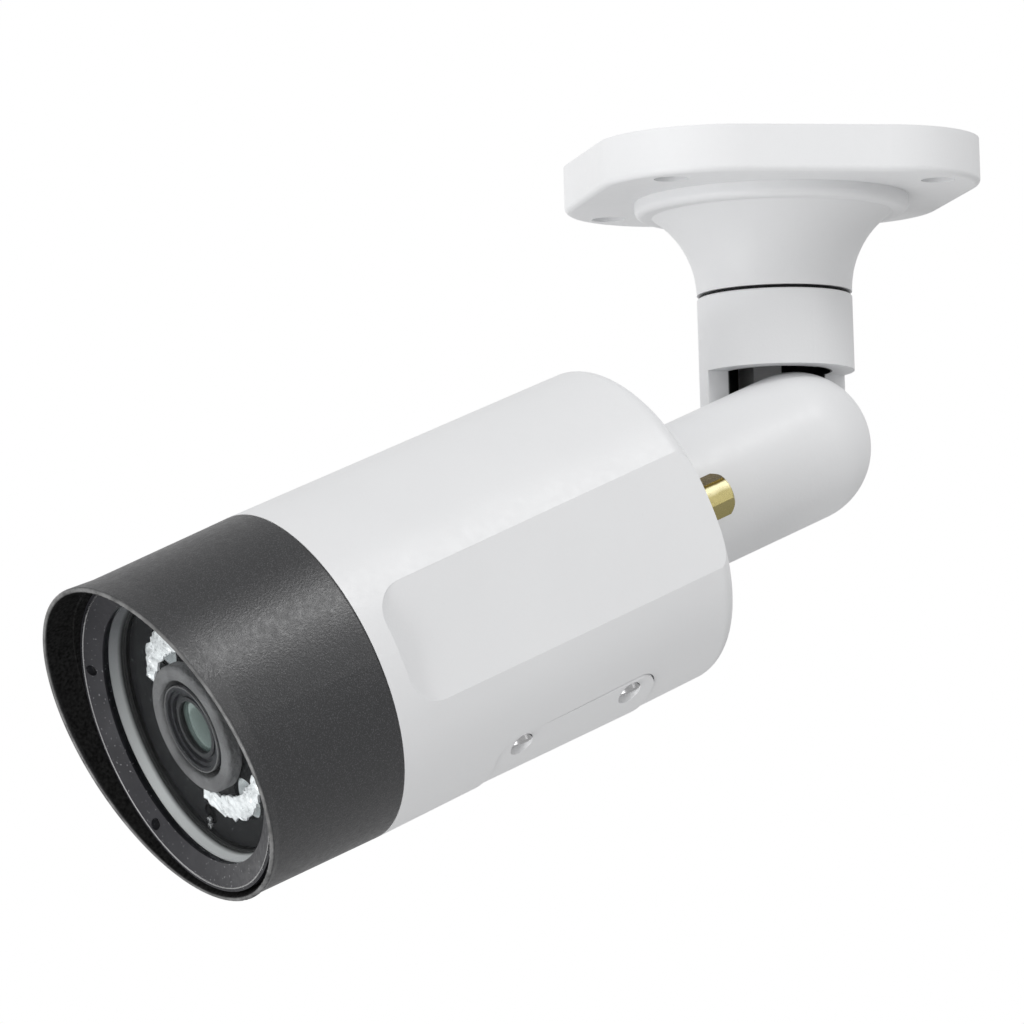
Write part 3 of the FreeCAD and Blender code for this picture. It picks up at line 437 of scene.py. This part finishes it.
def crumpled_mirror(name):
    """Bright pressed reflector: silvered plastic with a half matt, dimpled surface and a faint painted glow,
    though it is no lamp.
    """
    f = Finish(name)
    f.set(
        Base_Color=f.ramp(f.noise(700.0, 3.0), (0.3, (0.88, 0.89, 0.90)), (0.7, (0.97, 0.97, 0.98))),
        Metallic=f.spread(f.noise(500.0, 2.0), 0.15, 0.75, 0.35, 0.65),
        Roughness=f.spread(f.noise(800.0, 2.0), 0.22, 0.5, 0.3, 0.7),
        Normal=f.bumped(f.cells(900.0), 0.12 * MM),
        # painted glow: the reflector gives off faint light
        Emission_Color=(0.9, 0.95, 1.0, 1.0),
        Emission_Strength=0.10,
    )
    return f.mat


WHITE_PAINT = dict(
    dark=(0.785, 0.79, 0.80), light=(0.81, 0.815, 0.825), fleck=(0.77, 0.775, 0.785), fleck_share=0.68,
    rough=0.42, grain=1500.0, depth=0.018 * MM)

FINISHES = {
    "white_paint": (powder_coat, WHITE_PAINT),
    "white_recess": (powder_coat, dict(WHITE_PAINT, recess=True)),
    "hood_black": (powder_coat, dict(
        dark=(0.009, 0.0094, 0.011), light=(0.013, 0.0135, 0.0155), fleck=(0.06, 0.06, 0.065),
        fleck_share=0.56, rough=0.39, grain=1900.0, depth=0.06 * MM, gloss=0.85, hood=True)),
    "black_plastic": (moulded, dict(
        dark=(0.005, 0.005, 0.006), light=(0.010, 0.010, 0.011), rough=0.5, dust=(0.16, 0.16, 0.17),
        gloss=0.12)),
    "grey_ring": (ring_with_painted_shade, {}),
    "bezel_black": (moulded, dict(
        dark=(0.014, 0.014, 0.017), light=(0.026, 0.026, 0.030), rough=0.36, dust=(0.20, 0.20, 0.21),
        gloss=0.3)),
    "rubber": (moulded, dict(dark=0.018, light=0.030, rough=0.72, grain=900.0, depth=0.03 * MM)),
    "foam": (moulded, dict(
        dark=(0.10, 0.097, 0.10), light=(0.21, 0.206, 0.21), rough=0.8, grain=1100.0, depth=0.3 * MM)),
    "steel": (metal, dict(dark=(0.50, 0.50, 0.51), light=0.66, rough=0.26, stretch=(1, 1, 6))),
    "brass": (brass_with_painted_light, {}),
    "glass": (clear_pane, dict(tint=(0.94, 0.95, 0.95), gloss=(0.9, 0.92, 0.95))),
    "lens_glass": (coated_lens, dict(tint=(0.035, 0.038, 0.037), inner=(0.36, 0.37, 0.365))),
    "optic_clear": (clear_pane, dict(tint=(0.97, 0.98, 0.98), gloss=1.0, rough=0.05, smudge=0.2)),
    "reflector": (crumpled_mirror, {}),
    "board_green": (board, dict(mask=(0.012, 0.085, 0.035), track=(0.03, 0.17, 0.07))),
    "board_white": (board, dict(mask=(0.66, 0.67, 0.65), track=(0.74, 0.75, 0.72))),
    "chip_black": (moulded, dict(dark=(0.018, 0.018, 0.020), light=(0.030, 0.030, 0.033), rough=0.5)),
    "emitter": (moulded, dict(dark=(0.55, 0.48, 0.22), light=(0.70, 0.62, 0.30), rough=0.25)),
    "sensor_glass": (coated_lens, dict(tint=(0.02, 0.012, 0.03), inner=(0.2, 0.12, 0.28))),
    "plate_alu": (metal, dict(
        dark=(0.60, 0.60, 0.61), light=(0.72, 0.72, 0.73), rough=0.38, stretch=(1, 8, 1))),
    "ribbon": (moulded, dict(dark=(0.62, 0.60, 0.55), light=(0.72, 0.70, 0.64), rough=0.45)),
    "lead": (moulded, dict(dark=0.02, light=0.035, rough=0.5)),
    "white_cap": (moulded, dict(dark=(0.72, 0.73, 0.73), light=(0.76, 0.77, 0.77), rough=0.4)),
}
MATERIALS = {name: make(name, **look) for name, (make, look) in FINISHES.items()}

# nodes that look different from the rest of their material slot
OWN_FINISH = {
    "swivel_collar": "white_recess",
    "lens_retainer": "chip_black",
    "bezel_ring": "bezel_black",
    "lens_barrel": "bezel_black",
}

for part in frame["record"]["subparts"]:
    mesh = frame["nodes"][part["node"]].data
    mesh.materials.clear()
    mesh.materials.append(MATERIALS[OWN_FINISH.get(part["node"], part["material_slot"])])


# ------------------------------------------------------------------ added detail

def piece(name, bm, slot, body):
    """Turn a finished mesh into a named piece that rides on a body."""
    mesh = bpy.data.meshes.new(name)
    bmesh.ops.recalc_face_normals(bm, faces=bm.faces)
    bm.to_mesh(mesh)
    bm.free()
    mesh.materials.append(MATERIALS[slot])
    obj = bpy.data.objects.new(name, mesh)
    bpy.context.scene.collection.objects.link(obj)
    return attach(obj, body)


def border(rows):
    """The border of a grid of points, once round."""
    return rows[0] + [row[-1] for row in rows[1:-1]] + rows[-1][::-1] + [row[0] for row in rows[-2:0:-1]]


def emitter_trough(name, start, end, seed):
    """Arc-shaped crumpled reflector beside the lens, from one angle round the axis to the other."""
    rng = random.Random(seed)
    across = 7
    along = int((end - start) / TROUGH_STEP)
    places = []
    for i in range(along + 1):
        angle = math.radians(start + (end - start) * i / along)
        taper = math.sin(math.pi * min(max(i / along, 0.04), 0.96)) ** 0.35
        inner = TROUGH_R - TROUGH_INWARD * taper + rng.uniform(-0.5, 0.35)
        outer = TROUGH_R + TROUGH_OUTWARD * taper + rng.uniform(-0.55, 0.45)
        row = []
        for j in range(across + 1):
            share = j / across
            r = inner + (outer - inner) * share
            wave = TROUGH_WAVE * math.sin(math.pi * share) + rng.uniform(-0.16, 0.16)
            edge = j in (0, across) or i in (0, along)
            s = TROUGH_S + (0.0 if edge else max(wave, 0.05))
            row.append(at(s, r * math.cos(angle), r * math.sin(angle)))
        places.append(row)
    bm = bmesh.new()
    borders = []
    for shift in (Vector(), FRONT * (-TROUGH_DEPTH * MM)):
        sheet = [[bm.verts.new(place + shift) for place in row] for row in places]
        for near, far in zip(sheet, sheet[1:]):
            for j in range(across):
                bm.faces.new((near[j], near[j + 1], far[j + 1], far[j]))
        borders.append(border(sheet))
    front, back = borders
    for k in range(len(front)):
        bm.faces.new((front[k - 1], front[k], back[k], back[k - 1]))
    return piece(name, bm, "reflector", "camera")


def turned_ring(name, outline, slot, body, x=0.0, z=0.0, steps=96):
    """A ring turned about a line along the camera's axis, from an outline of (s, radius) points."""
    bm = bmesh.new()
    loops = []
    for i in range(steps):
        angle = 2 * math.pi * i / steps
        loops.append([bm.verts.new(at(s, x + r * math.cos(angle), z + r * math.sin(angle)))
                      for s, r in outline])
    count = len(outline)
    for i in range(steps):
        near, far = loops[i], loops[(i + 1) % steps]
        for j in range(count):
            k = (j + 1) % count
            bm.faces.new((near[j], near[k], far[k], far[j]))
    return piece(name, bm, slot, body)


emitter_trough("emitter_trough_upper", 57.0, 142.0, 5)
emitter_trough("emitter_trough_lower", 229.0, 314.0, 11)
# painted highlight: a thin bright steel ring stands in for the highlight on the bezel's step edge
turned_ring("bezel_edge", [(154.22, 32.15), (154.22, 32.55), (154.42, 32.45), (154.42, 32.25)],
            "steel", "camera")
turned_ring("lens_bead", [(150.2, 8.95), (150.2, 9.25), (150.5, 9.2), (150.5, 9.0)], "foam", "camera")
for number, (x, z) in enumerate(SENSOR_EYES, start=1):
    turned_ring(f"sensor_eye_{number}", [(147.02, 0.3), (147.02, 0.75), (147.5, 0.65), (147.6, 0.35)],
                "steel", "camera", x=x, z=z, steps=24)
turned_ring("socket_collar", [(38.9, 4.1), (38.9, 4.75), (39.35, 4.75), (39.35, 4.1)], "rubber", "camera",
            x=SOCKET_SIDE)


# ------------------------------------------------------------------ floor, light, camera

def stage_floor(z, size):
    bm = bmesh.new()
    bmesh.ops.create_grid(bm, x_segments=2, y_segments=2, size=size / 2)
    mesh = bpy.data.meshes.new("floor")
    bm.to_mesh(mesh)
    bm.free()
    floor = bpy.data.objects.new("floor", mesh)
    floor.location = (0, 0, z)
    bpy.context.scene.collection.objects.link(floor)
    f = Finish("floor")
    f.set(Base_Color=f.ramp(f.noise(1.5, 3.0), (0.3, 0.80), (0.7, 0.83)),
          Roughness=f.spread(f.noise(4.0), 0.6, 0.7))
    mesh.materials.append(f.mat)


def softbox(name, direction, distance, width, height, radiance):
    """A rectangular soft light of the given radiance that looks at the object."""
    middle = (cad_box[0] + cad_box[1]) / 2
    light = bpy.data.lights.new(name, "AREA")
    light.shape = "RECTANGLE"
    light.size = width
    light.size_y = height
    light.energy = radiance * math.pi * width * height
    lamp = bpy.data.objects.new(name, light)
    way = Vector(direction).normalized()
    lamp.location = middle + way * distance
    lamp.rotation_mode = "QUATERNION"
    lamp.rotation_quaternion = (-way).to_track_quat("-Z", "Y")
    bpy.context.scene.collection.objects.link(lamp)


def studio_world(zenith, horizon, bright_side, lean):
    """White to the lens; to the object, a soft dome, brightest at the horizon and on one side."""
    world = bpy.data.worlds.new("studio")
    n = Nodes(world)
    out = n.nt.nodes.new("ShaderNodeOutputWorld")
    way = n.nt.nodes.new("ShaderNodeTexCoord").outputs["Generated"]
    height = n.add("ShaderNodeSeparateXYZ", Vector=way).outputs["Z"]
    side = n.vectors("DOT_PRODUCT", way, Vector(bright_side).normalized())
    strength = n.maths("MULTIPLY", n.spread(height, horizon, zenith),
                       n.spread(side, 1.0 - lean, 1.0 + lean, start=-1.0))
    dome = n.add("ShaderNodeBackground", Strength=strength)
    seen = n.add("ShaderNodeBackground", Color=rgba(1), Strength=1.0)
    rays = n.nt.nodes.new("ShaderNodeLightPath")
    shown = n.mixed_shaders(rays.outputs["Is Camera Ray"], dome, seen)
    n.nt.links.new(shown.outputs[0], out.inputs["Surface"])
    bpy.context.scene.world = world


def long_lens_camera():
    """The viewing angle: far off, a little below the object, on its +X side."""
    azimuth, elevation, roll = (math.radians(v) for v in (VIEW_AZIMUTH, VIEW_ELEVATION, VIEW_ROLL))
    back = Vector((math.sin(azimuth) * math.cos(elevation), -math.cos(azimuth) * math.cos(elevation),
                   math.sin(elevation)))
    right = (-back).cross(Vector((0, 0, 1))).normalized()
    up = right.cross(-back)
    level_right = math.cos(roll) * right + math.sin(roll) * up
    level_up = -math.sin(roll) * right + math.cos(roll) * up
    data = bpy.data.cameras.new("view")
    data.sensor_width = 36.0
    data.lens = VIEW_LENS
    data.clip_start = 0.1
    data.clip_end = 60.0
    cam = bpy.data.objects.new("view", data)
    cam.rotation_mode = "QUATERNION"
    cam.rotation_quaternion = Matrix((level_right, level_up, back)).transposed().to_quaternion()
    cam.location = (back * VIEW_DISTANCE - level_right * VIEW_ACROSS - level_up * VIEW_ABOVE) * MM
    bpy.context.scene.collection.objects.link(cam)
    bpy.context.scene.camera = cam


long_lens_camera()
studio_world(zenith=0.62, horizon=1.03, bright_side=(-0.3, -1.0, 0.1), lean=0.40)
stage_floor(FLOOR_Z, FLOOR_SIZE)
softbox("front_box", (0.62, 0.30, 0.74), 1.2, 0.46, 0.36, radiance=8.4)
softbox("side_box", (0.55, 0.66, 0.30), 1.2, 0.50, 0.50, radiance=1.3)
softbox("left_box", (0.45, -0.90, -0.1), 1.4, 0.9, 0.9, radiance=0.9)
softbox("low_box", (0.40, -1.05, -0.9), 1.5, 1.1, 1.1, radiance=3.6)
bpy.context.scene.view_settings.view_transform = "Standard"
